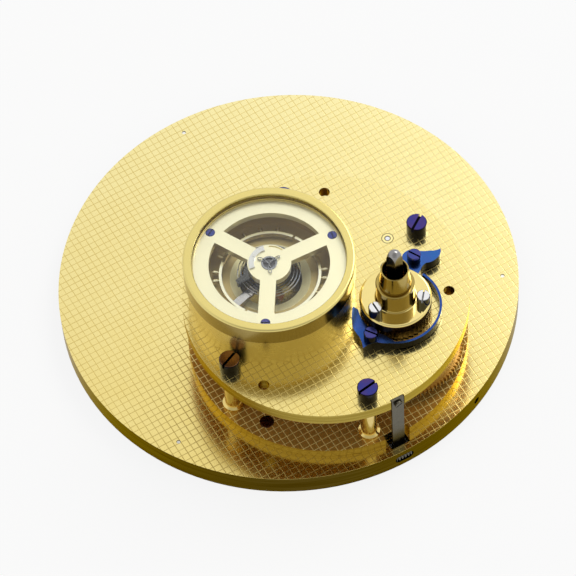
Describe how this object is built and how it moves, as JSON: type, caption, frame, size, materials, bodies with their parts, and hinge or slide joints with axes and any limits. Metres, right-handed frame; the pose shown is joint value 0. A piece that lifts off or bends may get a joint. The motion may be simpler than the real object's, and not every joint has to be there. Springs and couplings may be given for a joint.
{
  "type": "deck chronometer movement",
  "caption": "Spring-driven chronometer movement with a lever escapement, on its round dial plate, wound by a square at the back.",
  "frame": {"origin": "middle of the dial plate's rim, in the plane that it rests on", "axes": "+Z away from the dial towards the winding square, +Y towards 12 o'clock, +X to the right when seen from the back with 12 o'clock up"},
  "size_m": [0.1, 0.1, 0.0444],
  "materials": {
    "plate_brass": "polished, with scratched squares",
    "bridge_brass": "satin",
    "wheel_brass": "polished",
    "polished_steel": "polished",
    "blued_steel": "polished and blued",
    "dark_steel": "satin",
    "ruby": "polished",
    "silvered_brass": "silvered, satin",
    "clear_glass": "clear"
  },
  "bodies": {
    "frame": {"dial_plate": "plate_brass", "dial": "silvered_brass", "pillar_plate": "plate_brass", "movement_screws": "polished_steel", "pillars": "plate_brass", "top_plate": "plate_brass", "pillar_screws": "blued_steel", "locating_pin": "polished_steel", "pin_bush": "bridge_brass", "balance_housing": "plate_brass", "housing_screws": "polished_steel", "housing_bezel": "plate_brass", "housing_glass": "clear_glass", "balance_bridge": "bridge_brass", "bridge_screws": "blued_steel", "stud_holder": "polished_steel", "jewel_setting": "polished_steel", "shock_spring": "polished_steel", "balance_jewels": "ruby", "balance_spring": "blued_steel", "lower_cock": "plate_brass", "cock_screw": "polished_steel", "train_jewels": "ruby", "motion_studs": "polished_steel", "click_screws": "blued_steel", "click_spring": "blued_steel", "latch_screw": "dark_steel"},
    "barrel": {"barrel": "wheel_brass", "barrel_cover": "wheel_brass", "mainspring": "dark_steel"},
    "winding": {"barrel_arbor": "polished_steel", "ratchet_wheel": "wheel_brass", "winding_collar": "wheel_brass", "collar_screws": "polished_steel"},
    "click": {"click": "blued_steel"},
    "centre": {"centre_wheel": "wheel_brass", "centre_arbor": "polished_steel", "driving_wheel": "wheel_brass"},
    "transfer": {"transfer_wheel": "wheel_brass"},
    "third": {"third_wheel": "wheel_brass", "third_arbor": "polished_steel"},
    "fourth": {"fourth_wheel": "wheel_brass", "fourth_arbor": "polished_steel", "seconds_hand": "blued_steel"},
    "escape": {"escape_wheel": "polished_steel", "escape_arbor": "polished_steel"},
    "lever": {"pallet_lever": "polished_steel", "pallet_stones": "ruby", "pallet_arbor": "polished_steel"},
    "balance": {"balance_wheel": "wheel_brass", "balance_screws": "wheel_brass", "balance_staff": "polished_steel", "balance_roller": "polished_steel"},
    "cannon": {"cannon_pinion": "polished_steel", "minute_hand": "blued_steel"},
    "minute": {"minute_wheel": "wheel_brass"},
    "hour": {"hour_wheel": "wheel_brass", "hour_hand": "blued_steel"},
    "latch": {"latch_spring": "dark_steel"}
  },
  "joints": [
    {"name": "fourth_spin", "type": "hinge", "parent": "frame", "child": "fourth", "pos_m": [0, -0.0165, 0.012], "axis": [0, 0, 1], "continuous": true},
    {"name": "escape_spin", "type": "hinge", "parent": "frame", "child": "escape", "pos_m": [-0.00744, -0.01921, 0.012], "axis": [0, 0, 1], "continuous": true},
    {"name": "third_spin", "type": "hinge", "parent": "frame", "child": "third", "pos_m": [0.00131, -0.0081, 0.012], "axis": [0, 0, 1], "continuous": true},
    {"name": "centre_spin", "type": "hinge", "parent": "frame", "child": "centre", "pos_m": [0.00901, -0.01276, 0.012], "axis": [0, 0, 1], "continuous": true},
    {"name": "barrel_spin", "type": "hinge", "parent": "frame", "child": "barrel", "pos_m": [0.0104, -0.0286, 0.012], "axis": [0, 0, 1], "continuous": true},
    {"name": "transfer_spin", "type": "hinge", "parent": "frame", "child": "transfer", "pos_m": [0.00592, -0.00539, 0.012], "axis": [0, 0, 1], "continuous": true},
    {"name": "cannon_spin", "type": "hinge", "parent": "frame", "child": "cannon", "pos_m": [0, 0, 0.012], "axis": [0, 0, 1], "continuous": true},
    {"name": "minute_spin", "type": "hinge", "parent": "frame", "child": "minute", "pos_m": [-0.00283, 0.00283, 0.012], "axis": [0, 0, 1], "continuous": true},
    {"name": "hour_spin", "type": "hinge", "parent": "frame", "child": "hour", "pos_m": [0, 0, 0.012], "axis": [0, 0, 1], "continuous": true},
    {"name": "balance_swing", "type": "hinge", "parent": "frame", "child": "balance", "pos_m": [-0.0098, -0.0113, 0.012], "axis": [0, 0, 1], "range_deg": [-270, 270], "stiffness_Nm_per_rad": 0.00002},
    {"name": "lever_swing", "type": "hinge", "parent": "frame", "child": "lever", "pos_m": [-0.01211, -0.01791, 0.012], "axis": [0, 0, 1], "range_deg": [-5, 5]},
    {"name": "winding_turn", "type": "hinge", "parent": "frame", "child": "winding", "pos_m": [0.0104, -0.0286, 0.012], "axis": [0, 0, 1], "continuous": true},
    {"name": "click_lift", "type": "hinge", "parent": "frame", "child": "click", "pos_m": [0.0195, -0.021, 0.0238], "axis": [0, 0, 1], "range_deg": [0, 8], "stiffness_Nm_per_rad": 0.002},
    {"name": "latch_press", "type": "hinge", "parent": "frame", "child": "latch", "pos_m": [0, -0.04735, 0.0209], "axis": [1, 0, 0], "range_deg": [0, 1.5], "stiffness_Nm_per_rad": 0.02}
  ],
  "couplings": [
    {"joint": "escape_spin", "follows": "fourth_spin", "ratio": -10},
    {"joint": "third_spin", "follows": "fourth_spin", "ratio": -0.13333},
    {"joint": "centre_spin", "follows": "fourth_spin", "ratio": 0.016667},
    {"joint": "barrel_spin", "follows": "fourth_spin", "ratio": -0.0021277},
    {"joint": "transfer_spin", "follows": "fourth_spin", "ratio": -0.016667},
    {"joint": "cannon_spin", "follows": "fourth_spin", "ratio": 0.016667},
    {"joint": "minute_spin", "follows": "fourth_spin", "ratio": -0.0055556},
    {"joint": "hour_spin", "follows": "fourth_spin", "ratio": 0.0013889},
    {"joint": "lever_swing", "follows": "balance_swing", "ratio": -0.018519}
  ]
}
